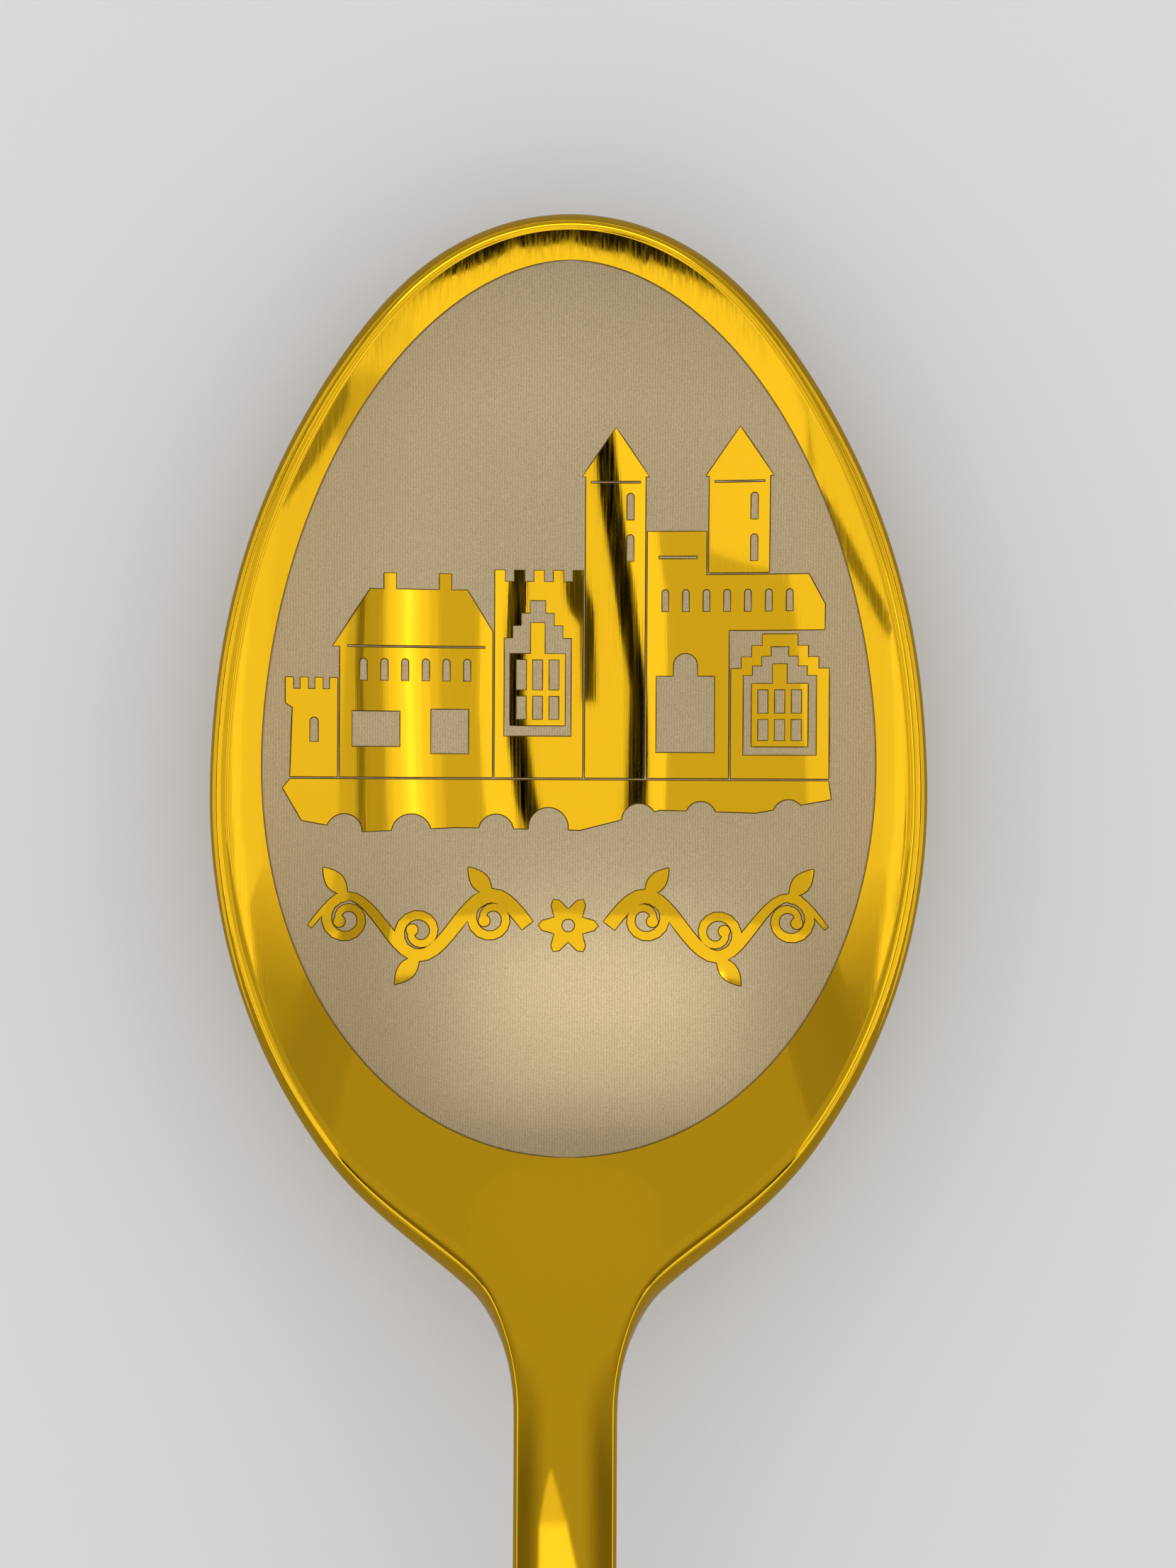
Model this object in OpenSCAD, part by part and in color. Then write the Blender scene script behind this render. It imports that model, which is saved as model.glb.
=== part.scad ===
// Souvenir spoon: a stamped steel blank, the hard gold coat over it, and what a laser left of
// that coat inside an egg-shaped window in the bowl. Millimetres, +Z up, bowl towards +Y.
// The spoon lies on a table at z = 0, and its origin is the bottom centre of its box.

/* [Bowl] */
// Width across the bowl
bowl_w = 30.9; // [26:0.1:40]
// Length from the bowl's widest line to its tip
bowl_front = 25; // [20:0.5:34]
// Half length of the oval that shapes the bowl's back half
bowl_back = 21; // [17:0.5:28]
// Depth of the hollow below the rim
bowl_depth = 6.6; // [4:0.1:9]
// Thickness of the bowl's wall
bowl_t = 1.1; // [0.8:0.05:1.6]
// How far the rim's edge bulges past its corners
rim_bulge = 0.3; // [0.1:0.05:0.6]

/* [Handle] */
// Overall length of the spoon
overall_l = 138; // [115:1:170]
// Length of the shoulders, from the bowl's oval to the neck
shoulder_l = 12.5; // [10:0.5:15]
// Width of the neck
neck_w = 4.4; // [3.4:0.1:6.5]
// Thickness of the neck
neck_t = 2.7; // [2:0.1:3.6]
// Width of the handle at its broad end
handle_w = 10; // [7:0.5:14]
// Thickness of the handle at its broad end
handle_t = 1.9; // [1.4:0.1:2.6]
// Length of the rounding at the handle's end
end_l = 7; // [4:0.5:12]
// How far the handle's long edges bulge past their corners
side_bulge = 0.55; // [0.2:0.05:0.9]

/* [Side profile] */
// Height of the rim at the tip, before the spoon is set down
tip_z = 7.3; // [6:0.1:11]
// Height of the rim at the shoulders
shoulder_z = 9.6; // [8:0.1:14]
// Height of the handle's arch
arch_z = 15.4; // [12:0.1:24]
// Height of the handle's end
end_z = 2.3; // [1.5:0.1:6]

/* [Engraved field] */
// Thickness of the gold coat, drawn thick enough to be a solid
coat_t = 0.05; // [0.04:0.01:0.12]
// Bright margin between the field and the outside of the rim, at the sides
margin_side = 2.1; // [1.6:0.1:3]
// Bright margin at the tip
margin_tip = 1.9; // [1.6:0.1:3]
// Distance from the bowl's widest line to the field's end near the neck
field_back = 15.8; // [12:0.1:17]
// Width of the lines that part one gold area from the next
gap = 0.12; // [0.1:0.01:0.2]

/* [Hidden] */
gold = "#d9a521";
frosted = "#b9a888";

// Stations closer than this are the same station
tiny = 0.0001;

// Counts of steps in the meshes of the curved surfaces
across_field = 7;
across_margin = 3;
across_edge = 8;
along_tip = 7;
along_field = 24;
along_shoulder = 7;
along_handle = 15;
along_end = 7;

// Shape exponents: the edge's section, the field's two ends and how flat the bowl's floor is
edge_power = 2.5;
field_power_front = 1.89;
field_power_back = 2.05;
floor_flatness = 0.12;
// How much the sides of the front half are drawn in from an ellipse
front_slimming = 0.245;
// Share of the thickness that the handle loses towards its long edges
edge_thinning = 0.26;
// Convexity of the handle's upper face
crown = 0.22;
// Shares of the back oval and of the shoulders at which the outline changes its curve
oval_share = 0.71;
waist_share = 0.497;
// Width of the waist between the neck and the oval, as a share of that difference
waist_w_share = 0.188;
// The hollow runs this far past the neck, as a channel
channel_past_neck = 1;
// The handle's broad end, as a share of its length, and its highest point
arch_share = 0.46;

// ---- Functions of one variable ----

// A curve from [value, slope, bend] at x0 to [value, slope, bend] at x1, with no jump in bend
function quintic(x, x0, x1, a, b) =
    let (h = x1 - x0, t = min(1, max(0, (x - x0) / h)), t3 = t*t*t, t4 = t3*t, t5 = t4*t)
    a[0] * (1 - 10*t3 + 15*t4 - 6*t5) + b[0] * (10*t3 - 15*t4 + 6*t5)
    + a[1] * h * (t - 6*t3 + 8*t4 - 3*t5) + b[1] * h * (-4*t3 + 7*t4 - 3*t5)
    + a[2] * h*h * (t*t - 3*t3 + 3*t4 - t5) / 2 + b[2] * h*h * (t3 - 2*t4 + t5) / 2;
function ease(x, x0, x1, a, b) = quintic(x, x0, x1, [a, 0, 0], [b, 0, 0]);
function slope_of(f0, f1, step) = (f1 - f0) / step;

// ---- The outline: half width of the inner rim edge at a distance v behind the widest line ----

wall_slope = bowl_depth * (1 + floor_flatness) * 2 / (bowl_w / 2);
// How far an edge section reaches past its upper corner, where the surface rises outward at a slope
function overhang(t, bulge, slope) =
    let (c = 1 / sqrt(1 + slope*slope), s = slope * c, m = edge_power / (edge_power - 1))
    t/2 * s + pow(pow(bulge * c, m) + pow(abs(t/2 * s), m), 1/m);
function side_overhang(w, t) =
    overhang(t * (1 - edge_thinning), side_bulge, -4 * crown / w);
lip = overhang(bowl_t, rim_bulge, wall_slope);
mouth_w = bowl_w / 2 - lip;
mouth_front = bowl_front - overhang(bowl_t, rim_bulge, bowl_depth * 2 / bowl_front);
mouth_back = bowl_back - lip;
neck_half = neck_w / 2 - side_overhang(neck_w, neck_t);
end_half = handle_w / 2 - side_overhang(handle_w, handle_t);

oval_v = mouth_back * oval_share;
neck_v = oval_v + shoulder_l;
waist_v = oval_v + shoulder_l * waist_share;
end_v = overall_l - bowl_front - side_bulge;
cap_v = end_v - end_l;

// One over the square of the half length, eased from the front oval's to the back oval's
function oval_term(v) = ease(v, -mouth_front / 4, mouth_back / 4, 1/pow(mouth_front, 2), 1/pow(mouth_back, 2));
function oval_half(v) =
    let (q = min(1, max(0, -v / mouth_front)), q4 = pow(q, 4))
    mouth_w * sqrt(max(0, 1 - v*v * oval_term(v))) * (1 - front_slimming * q4 * pow(1 - q4, 2));
oval_w = oval_half(oval_v);
oval_slope = slope_of(oval_half(oval_v - 0.01), oval_half(oval_v + 0.01), 0.02);
oval_bend = (oval_half(oval_v - 0.1) - 2*oval_w + oval_half(oval_v + 0.1)) / 0.01;
waist_w = neck_half + waist_w_share * (oval_w - neck_half);
waist_steepness = 1.213;
waist_slope = -waist_steepness * (oval_w - neck_half) / shoulder_l;
waist_bend = 0.487;
function half_width(v) =
    v <= oval_v ? oval_half(v)
    : v <= waist_v ? quintic(v, oval_v, waist_v, [oval_w, oval_slope, oval_bend], [waist_w, waist_slope, waist_bend])
    : v <= neck_v ? quintic(v, waist_v, neck_v, [waist_w, waist_slope, waist_bend], [neck_half, 0, 0])
    : v >= end_v - tiny ? 0
    : handle_half(v) * sqrt(max(0, 1 - pow(max(0, v - cap_v) / end_l, 2)));
// Half width of the handle before its end is rounded
function handle_half(v) = ease(v, neck_v + shoulder_l/2, cap_v, neck_half, end_half);

// ---- The upper surface ----

channel_v = neck_v + channel_past_neck;
arch_v = neck_v + (end_v - neck_v) * arch_share;
// Height of the rim's line and of the handle's ridge, seen from the side
function rim_z(v) =
    v <= oval_v ? quintic(v, -bowl_front, oval_v, [tip_z, 0.03, 0], [shoulder_z, 0.15, 0.004])
    : v <= arch_v ? quintic(v, oval_v, arch_v, [shoulder_z, 0.15, 0.004], [arch_z, 0, -0.009])
    : quintic(v, arch_v, end_v, [arch_z, 0, -0.009], [end_z, -0.32, 0.004]);
// Share of the full depth that the hollow has along its centre line
function hollow(v) =
    v <= 0 ? 1 - pow(v / mouth_front, 2)
    : quintic(v, 0, channel_v, [1, 0, -2 / pow(mouth_front, 2)], [0, 0, 0]);
function dished(s) = s + floor_flatness * s * (1 - s);
function upper_z(x, v, w) =
    let (u2 = w > 0 ? min(1.2, pow(x / w, 2)) : 1)
    rim_z(v) - bowl_depth * dished(hollow(v) * (1 - u2)) - crown * ease(v, oval_v, neck_v, 0, 1) * share(x, v, w);
// How far out a place lies, squared, on the full width that the handle's rounded end is cut from
function share(x, v, w) = pow(x / max(w, handle_half(v)), 2);

// ---- Sizes that change along the spoon ----

function thickness(v) =
    v <= neck_v + 2 ? ease(v, mouth_back * 0.55, neck_v + 2, bowl_t, neck_t) : ease(v, neck_v + 2, cap_v, neck_t, handle_t);
function thinning(v) = ease(v, oval_v, neck_v, 0, edge_thinning);
function bulge(v) = ease(v, oval_v * 0.8, neck_v, rim_bulge, side_bulge);

// ---- The field's outline, on the same centre line ----

field_from = -(bowl_front - margin_tip);
field_to = field_back;
field_v = field_from * 0.054;
field_w = bowl_w / 2 - margin_side;
function field_half(v) =
    v <= field_from + tiny || v >= field_to - tiny ? 0
    : v < field_v ? field_w * pow(1 - pow((field_v - v) / (field_v - field_from), field_power_front), 1 / field_power_front)
    : field_w * pow(1 - pow((v - field_v) / (field_to - field_v), field_power_back), 1 / field_power_back);

// ---- Stations along the spoon, closer together where the outline turns ----

function cosine_steps(from, to, n, a0, a1) =
    [for (i = [1 : n]) from + (to - from) * (cos(a0) - cos(a0 + (a1 - a0) * i/n)) / (cos(a0) - cos(a1))];
stations = concat(
    [-mouth_front],
    cosine_steps(-mouth_front, field_from, along_tip, 0, 60),
    cosine_steps(field_from, field_to, along_field, 0, 180),
    cosine_steps(field_to, neck_v, along_shoulder, 60, 120),
    cosine_steps(neck_v, cap_v, along_handle, 60, 120),
    cosine_steps(cap_v, end_v, along_end, 90, 180));
last = len(stations) - 1;
first_in_field = along_tip + 1;
last_in_field = along_tip + along_field;

// ---- One section, as a ring of points ----

// Lateral places from one inner rim edge to the other; the field's edge is always one of them
function laterals(v) =
    let (w = half_width(v), f = field_half(v),
         right = concat([for (i = [0 : across_field - 1]) f * i / across_field],
                        [for (i = [0 : across_margin]) f + (w - f) * i / across_margin]))
    concat([for (i = [len(right) - 1 : -1 : 1]) -right[i]], right);
function surface_normal(x, v) =
    let (d = 0.02, w = half_width(v), wa = half_width(v - d), wb = half_width(v + d),
         flat_end = v < -mouth_front + 0.05 || v > end_v - 0.05,
         gx = w < 0.05 ? 0 : (upper_z(x + d, v, w) - upper_z(x - d, v, w)) / (2*d),
         gv = flat_end ? end_grade(v) : (upper_z(x, v + d, wb) - upper_z(x, v - d, wa)) / (2*d))
    unit([-gx, -gv, 1]);
// Slope along the spoon at its two ends, where the section has no width left
function end_grade(v) =
    v < 0 ? -bowl_depth * (1 + floor_flatness) * 2 / mouth_front + 0.03 : -0.32;
function unit(a) = a / norm(a);
// Direction square to the outline, in plan, pointing out on the +x side
function outward(v) =
    let (d = 0.01, s = slope_of(half_width(max(-mouth_front, v - d)), half_width(min(end_v, v + d)), 2*d))
    v <= -mouth_front + tiny ? [0, -1] : v >= end_v - tiny ? [0, 1] : unit([1, -s]);

function section(v, grow) =
    let (xs = laterals(v), n = len(xs), w = half_width(v), t = thickness(v), loss = t * thinning(v),
         te = t - loss * share(w, v, w),
         top = [for (x = xs) let (N = surface_normal(x, v)) [x, v, upper_z(x, v, w)] + N * grow],
         low = [for (x = xs) [x, v, upper_z(x, v, w)] - surface_normal(x, v) * (t - loss * share(x, v, w) + grow)],
         edge = function (side)
             let (N = surface_normal(side * w, v), o = outward(v), g = [side * o[0], o[1], 0],
                  e = unit(g - N * (g * N)), b = bulge(v) + grow, h = te/2 + grow)
             [for (k = [1 : across_edge - 1]) let (a = 90 - 180 * k / across_edge)
                 [side * w, v, upper_z(w, v, w)] - N * te/2
                 + e * b * pow(abs(cos(a)), 2/edge_power)
                 + N * h * sign(a) * pow(abs(sin(a)), 2/edge_power)],
         right = edge(1), left = edge(-1))
    concat(top, right, [for (i = [n - 1 : -1 : 0]) low[i]],
           [for (i = [across_edge - 2 : -1 : 0]) left[i]]);

// ---- Setting the spoon down: a small tilt that lets bowl and handle both touch the table ----

coat_rings = [for (v = stations) section(v, coat_t)];
function lowest(rings) =
    let (p = [for (r = rings) for (q = r) q], z = min([for (q = p) q[2]]))
    [for (q = p) if (q[2] == z) q][0];
low_bowl = lowest([for (r = coat_rings) if (r[0][1] < neck_v) r]);
low_end = lowest([for (r = coat_rings) if (r[0][1] > arch_v) r]);
tilt = -(low_end[2] - low_bowl[2]) / (low_end[1] - low_bowl[1]);
drop = -low_bowl[2] - tilt * low_bowl[1];
all_v = [for (r = coat_rings) for (q = r) q[1]];
// The widest line's place along y, from which the picture is measured too
middle_v = (max(all_v) + min(all_v)) / 2;
function placed(p) = [p[0], middle_v - p[1], p[2] + drop + tilt * p[1]];

// ---- Solids from rings ----

blank_rings = [for (v = stations) [for (p = section(v, 0)) placed(p)]];
skin_rings = [for (r = coat_rings) [for (p = r) placed(p)]];
ring_n = len(blank_rings[0]);
lateral_n = len(laterals(0));
field_a = across_margin;
field_b = lateral_n - 1 - across_margin;

function point_no(ring, k) = ring * ring_n + k % ring_n;
// Quads between rings; flip turns them inside out, and skip leaves out the field's own quads
function ring_faces(base, flip, skip) =
    [for (i = [0 : last - 1]) for (k = [0 : ring_n - 1])
        if (!(skip && i >= first_in_field - 1 && i < last_in_field && k >= field_a && k < field_b))
            let (a = base + point_no(i, k), b = base + point_no(i, k + 1),
                 c = base + point_no(i + 1, k + 1), d = base + point_no(i + 1, k))
            each (flip ? [[a, c, b], [a, d, c]] : [[a, b, c], [a, c, d]])];
// The coat's cut edge all round the field, between the skin and the blank
function window_faces(inner, outer) =
    [for (i = [first_in_field - 1 : last_in_field - 1])
        let (a = point_no(i, field_a), b = point_no(i + 1, field_a),
             c = point_no(i, field_b), d = point_no(i + 1, field_b))
        each [[outer + b, outer + a, inner + b], [inner + b, outer + a, inner + a],
              [outer + c, outer + d, inner + c], [inner + c, outer + d, inner + d]]];

module steel_blank() {
    color(frosted) polyhedron([for (r = blank_rings) each r], ring_faces(0, false, false));
}

module gold_coat() {
    all = concat([for (r = blank_rings) each r], [for (r = skin_rings) each r]);
    n = ring_n * len(blank_rings);
    color(gold)
        polyhedron(all, concat(ring_faces(n, false, true), ring_faces(0, true, true), window_faces(0, n)));
}

// The coat as it was between two places along the field, before the laser cut it
module field_coat(y0, y1) {
    span = [for (i = [first_in_field + 1 : last_in_field - 1])
        if (blank_rings[i - 1][field_b][1] > y0 && blank_rings[i + 1][field_b][1] < y1) i];
    count = field_b - field_a + 1;
    rows = len(span);
    n = count * rows;
    low = [for (i = span) for (k = [field_a : field_b]) blank_rings[i][k]];
    high = [for (i = span) for (k = [field_a : field_b]) skin_rings[i][k]];
    quad = function (a, b, c, d) [[a, b, c], [a, c, d]];
    sheets = [for (i = [0 : rows - 2]) for (k = [0 : count - 2]) let (a = i * count + k)
        each concat(quad(n + a, n + a + 1, n + a + count + 1, n + a + count),
                    [[a, a + count + 1, a + 1], [a, a + count, a + count + 1]])];
    sides = [for (i = [0 : rows - 2]) let (a = i * count, b = a + count, c = b - 1, d = c + count)
        each concat(quad(a, n + a, n + b, b), quad(n + c, c, d, n + d))];
    e = count * (rows - 1);
    ends = [for (k = [0 : count - 2])
        each concat(quad(k, k + 1, n + k + 1, n + k), quad(n + e + k, n + e + k + 1, e + k + 1, e + k))];
    polyhedron(concat(low, high), concat(sheets, sides, ends));
}

// The picture is drawn for a field 26.7 wide and 38.9 long, and shrinks or grows with it
picture_scale = min(field_w / 13.35, (field_to - field_from) / 38.9);

// What the laser left standing between y0 and y1: an area of the coat, drawn flat
module left_standing(y0, y1) {
    color(gold) intersection() {
        field_coat(middle_v + y0 * picture_scale, middle_v + y1 * picture_scale);
        translate([0, middle_v, -5]) linear_extrude(30) scale(picture_scale) children();
    }
}

// ---- The picture, flat ----

module box_2d(x0, y0, x1, y1) {
    translate([x0, y0]) square([x1 - x0, y1 - y0]);
}

module arched_2d(x, y, w, h) {
    translate([x - w/2, y]) square([w, h - w/2]);
    translate([x, y + h - w/2]) circle(d = w, $fn = 24);
}

// Points of a battlement from x0 to x1, from right to left
function merlons(x0, x1, y, n, h) =
    let (pitch = (x1 - x0) / (2*n - 1))
    [for (i = [2*n - 1 : -1 : 1]) each [[x0 + i*pitch, y + h * (i % 2)], [x0 + (i - 1)*pitch, y + h * (i % 2)]]];

// Points of a stepped gable from x0 to x1, from right to left
function gable_steps(x0, x1, y, n, run, rise) =
    concat([for (i = [0 : n]) each [[x1 - i*run, y + i*rise], [x1 - i*run, y + (i + 1)*rise]]],
           [for (i = [n : -1 : 0]) each [[x0 + i*run, y + (i + 1)*rise], [x0 + i*run, y + i*rise]]]);

// A frame of n posts and of rails at the heights asked for, joined as one piece
module timbers_2d(x0, x1, n, rails, w) {
    for (i = [0 : n - 1]) let (x = x0 + (x1 - x0 - w) * i / (n - 1))
        box_2d(x, rails[0], x + w, rails[len(rails) - 1] + w);
    for (y = rails) box_2d(x0, y, x1, y + w);
}

module bastion() {
    left_standing(0, 5) difference() {
        polygon(concat([[-12.1, foot_y], [-10 - gap, foot_y], [-10 - gap, 4.5]],
                       merlons(-12.3, -10 - gap, 4.5, 4, 0.5),
                       [[-12.3, 3.9], [-12.0, 3.7]]));
        arched_2d(-11.1, 2.2, 0.4, 1.1);
    }
}

module palace() {
    left_standing(0, 10) difference() {
        polygon([[-10, foot_y], [-3.4, foot_y], [-3.4, 7.1], [-4.5, 8.9], [-5.2, 8.9], [-5.2, 9.6], [-5.7, 9.6],
                 [-5.7, 8.9], [-7.6, 8.9], [-7.6, 9.6], [-8.1, 9.6], [-8.1, 8.9], [-8.7, 8.9],
                 [-10.3, 6.4], [-10, 6.4]]);
        for (x = [-9 : 0.9 : -4]) arched_2d(x, 4.9, 0.36, 1.0);
        box_2d(-9.7, 6.35, -3.7, 6.47);
        box_2d(-9.5, 2.0, -7.4, 3.6);
        box_2d(-6.1, 1.7, -4.4, 3.7);
    }
}

module keep() {
    left_standing(0, 10.5) difference() {
        polygon(concat([[-3.4 + gap, foot_y], [0.7 - gap, foot_y], [0.7 - gap, 9.3]],
                       merlons(-3.4 + gap, 0.7 - gap, 9.3, 5, 0.5)));
        polygon(concat([[-2.9, 2.5], [0.1, 2.5]], gable_steps(-2.9, 0.1, 6.3, 3, 0.38, 0.55)));
    }
}

module keep_timbers() {
    left_standing(2.2, 8) union() {
        timbers_2d(-2.6, -0.2, 4, [3.0, 4.3, 5.9], 0.24);
        box_2d(-1.7, 5.9, -1.1, 7.5);
    }
}

module tower_2d(x, w, eave, peak, foot) {
    difference() {
        polygon([[x - w/2, foot], [x + w/2, foot], [x + w/2, eave], [x + w/2 + 0.15, eave],
                 [x, peak], [x - w/2 - 0.15, eave], [x - w/2, eave]]);
        for (y = [eave - 1.9, eave - 3.7]) arched_2d(x + w/4, y, 0.36, 1.2);
        box_2d(x - w/2 + 0.2, eave - 0.3, x + w/2 - 0.2, eave - 0.18);
    }
}

module left_tower() {
    left_standing(0, 16.5) tower_2d(2.0, 2.6, 13.9, 16.0, foot_y);
}

module right_tower() {
    left_standing(9, 16.5) tower_2d(7.4, 2.6, 13.9, 16.0, 9.6 + gap);
}

module nave() {
    left_standing(0, 12) difference() {
        polygon([[3.3 + gap, foot_y], [7.1 - gap, foot_y], [7.1 - gap, 7.2], [11.1, 7.2], [11.1, 8.3],
                 [10.4, 9.6], [6.1 - gap, 9.6], [6.1 - gap, 11.5], [3.3 + gap, 11.5]]);
        box_2d(3.9, 10.3, 5.6, 10.46);
        for (x = [4.2 : 0.9 : 10]) arched_2d(x, 8.0, 0.34, 1.0);
        box_2d(3.8, 1.8, 6.4, 5.2);
        arched_2d(5.1, 5.1, 1.1, 1.1);
    }
}

module gable_house() {
    left_standing(0, 8) difference() {
        polygon(concat([[7.1, foot_y], [11.3, foot_y]], gable_steps(7.1, 11.3, 5.0, 3, 0.45, 0.5)));
        polygon(concat([[7.6, 1.7], [10.8, 1.7]], gable_steps(7.6, 10.8, 4.8, 3, 0.4, 0.42)));
    }
}

module house_timbers() {
    left_standing(1.5, 7) union() {
        timbers_2d(8.0, 10.4, 4, [2.1, 3.3, 4.6], 0.24);
        box_2d(8.9, 4.6, 9.5, 5.7);
    }
}

// The slope under the walls; bushes bite round holes out of its lower edge
module hillside() {
    left_standing(-2.4, 0.8) difference() {
        polygon([[-12.4, 0.2], [-11.6, -1.2], [-9.0, -1.7], [-5.0, -1.5], [0.5, -1.6], [4.0, -0.7],
                 [8.2, -0.8], [11.4, -0.2], [11.3, foot_y - gap], [-12.1, foot_y - gap]]);
        for (b = bushes) translate([b[0], b[1]]) circle(r = b[2], $fn = 24);
    }
}

foot_y = 0.7;
bushes = [[-9.8, -1.7, 0.8], [-6.9, -1.8, 0.9], [-3.2, -1.7, 0.8], [-0.9, -1.5, 0.9],
          [3.1, -1.2, 0.8], [5.8, -1.0, 0.7], [9.6, -0.9, 0.7]];

// ---- The scroll under the picture: a rosette with a vine on either side ----

scroll_y = -5.8;
scroll_from = 1.8;
scroll_to = 11.2;
scroll_wave = 1.3;
bays = 3;
bay = (scroll_to - scroll_from) / bays;
stem_w = 0.55;
curl_r = 1.0;
curl_turns = 1.3;

// A ribbon along a list of points, each with its own width
module ribbon_2d(points, widths) {
    n = len(points) - 1;
    way = [for (i = [0 : n]) unit(points[min(n, i + 1)] - points[max(0, i - 1)])];
    polygon(concat([for (i = [0 : n]) points[i] + widths[i]/2 * [way[i][1], -way[i][0]]],
                   [for (i = [n : -1 : 0]) points[i] - widths[i]/2 * [way[i][1], -way[i][0]]]));
}

module stem_2d(side) {
    n = 10 * bays;
    ribbon_2d([for (i = [0 : n]) [side * (scroll_from + bay * bays * i/n), scroll_y + scroll_wave * sin(180 * bays * i/n)]],
              [for (i = [0 : n]) stem_w * (1.1 - 0.75 * pow(i/n, 2))]);
}

// A spiral that leaves the stem at the top of its wave and ends in a bead
module curl_2d(x, y, up, side) {
    n = 20;
    points = [for (i = [0 : n])
        let (a = 90 - 360 * curl_turns * i/n, r = curl_r * (1 - 0.66 * i/n))
        [x + side * r * cos(a), y + up * (r * sin(a) - curl_r)]];
    ribbon_2d(points, [for (i = [0 : n]) 0.42 - 0.16 * i/n]);
    translate(points[n]) circle(r = 0.24, $fn = 24);
}

module leaf_2d(x, y, l, a) {
    n = 8;
    ribbon_2d([for (i = [0 : n]) [x, y] + l * i/n * [cos(a), sin(a)]],
              [for (i = [0 : n]) 0.03 + l * 0.45 * sin(180 * i/n)]);
}

module vine_2d(side) {
    stem_2d(side);
    for (k = [0 : bays - 1]) {
        x = side * (scroll_from + bay * (k + 0.5));
        up = k % 2 == 0 ? 1 : -1;
        curl_2d(x, scroll_y + up * scroll_wave, up, side);
        leaf_2d(x, scroll_y + up * scroll_wave, 1.6, 90 - side * 90 + side * up * 50);
    }
}

module vine_left() {
    left_standing(-9.2, -2.4) vine_2d(-1);
}

module vine_right() {
    left_standing(-9.2, -2.4) vine_2d(1);
}

module rosette() {
    left_standing(-7.6, -4) difference() {
        polygon([for (a = [0 : 10 : 350]) [0, scroll_y] + (1.0 + 0.3 * cos(6*a)) * [cos(a), sin(a)]]);
        translate([0, scroll_y]) circle(r = 0.3, $fn = 24);
    }
}

steel_blank();
gold_coat();
bastion();
palace();
keep();
keep_timbers();
left_tower();
right_tower();
nave();
gable_house();
house_timbers();
hillside();
vine_left();
rosette();
vine_right();
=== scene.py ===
"""Souvenir spoon: its visible surfaces, worked out with the same formulas as the solid part, and a
plain table-top stage.

The spoon is described on its own centre line: x runs across, v runs from the bowl's widest line
towards the handle, and z is up. Setting it down turns v into the row's y and tilts it a little, so
that bowl and handle both touch the table. Everything is in metres.
"""

import math

import bpy
import numpy as np
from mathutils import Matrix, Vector
from mathutils.geometry import delaunay_2d_cdt


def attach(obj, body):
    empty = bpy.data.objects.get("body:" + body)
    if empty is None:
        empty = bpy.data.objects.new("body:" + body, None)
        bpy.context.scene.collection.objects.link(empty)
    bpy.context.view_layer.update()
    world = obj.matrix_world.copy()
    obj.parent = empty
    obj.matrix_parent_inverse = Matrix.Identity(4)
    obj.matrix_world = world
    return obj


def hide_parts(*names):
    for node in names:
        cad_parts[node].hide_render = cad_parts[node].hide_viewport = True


bl_info = {
    "name": "Souvenir spoon",
    "version": (1, 0, 0),
    "blender": (4, 5, 0),
    "location": "3D View > Sidebar > Spoon",
    "description": "A gold-coated spoon with a laser-cut picture in its bowl",
    "category": "Add Mesh",
}

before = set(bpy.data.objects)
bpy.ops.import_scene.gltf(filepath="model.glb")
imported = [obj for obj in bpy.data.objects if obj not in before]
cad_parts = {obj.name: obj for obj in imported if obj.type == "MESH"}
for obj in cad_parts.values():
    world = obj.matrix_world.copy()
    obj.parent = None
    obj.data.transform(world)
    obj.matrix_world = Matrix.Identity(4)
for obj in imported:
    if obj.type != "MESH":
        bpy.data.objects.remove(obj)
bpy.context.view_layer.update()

MM = 0.001
ISLANDS = sorted(set(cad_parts) - {"steel_blank", "gold_coat"})

# Shape exponents, shares and reaches, the same as the solid part's
EDGE_POWER = 2.5
FIELD_POWER_FRONT = 1.89
FIELD_POWER_BACK = 2.05
FLOOR_FLATNESS = 0.12
FRONT_SLIMMING = 0.245
EDGE_THINNING = 0.26
OVAL_SHARE = 0.71
WAIST_SHARE = 0.497
WAIST_WIDTH_SHARE = 0.188
WAIST_STEEPNESS = 1.213
WAIST_BEND = 0.487 / MM
FIELD_WIDEST_SHARE = 0.054
ARCH_SHARE = 0.46
THICKENING_SHARE = 0.55
BULGING_SHARE = 0.8
CHANNEL_REACH = 1 * MM
NECK_REACH = 2 * MM

# The rim's line seen from the side: its slope, and its bend in 1/m, at each place it passes through
TIP_SIDE = (0.03, 0)
SHOULDER_SIDE = (0.15, 4)
ARCH_SIDE = (0, -9)
END_SIDE = (-0.32, 4)

# The gold as it is drawn here: two skins over the steel, and the islands' foot and grid
COAT_TOP = 0.035 * MM  # a little under the solid part's
COAT_UNDERSIDE = 0.005 * MM
ISLAND_UNDERSIDE = 0.004 * MM
ISLAND_FOOT = 0.045 * MM
ISLAND_GRID = 0.22 * MM

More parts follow.
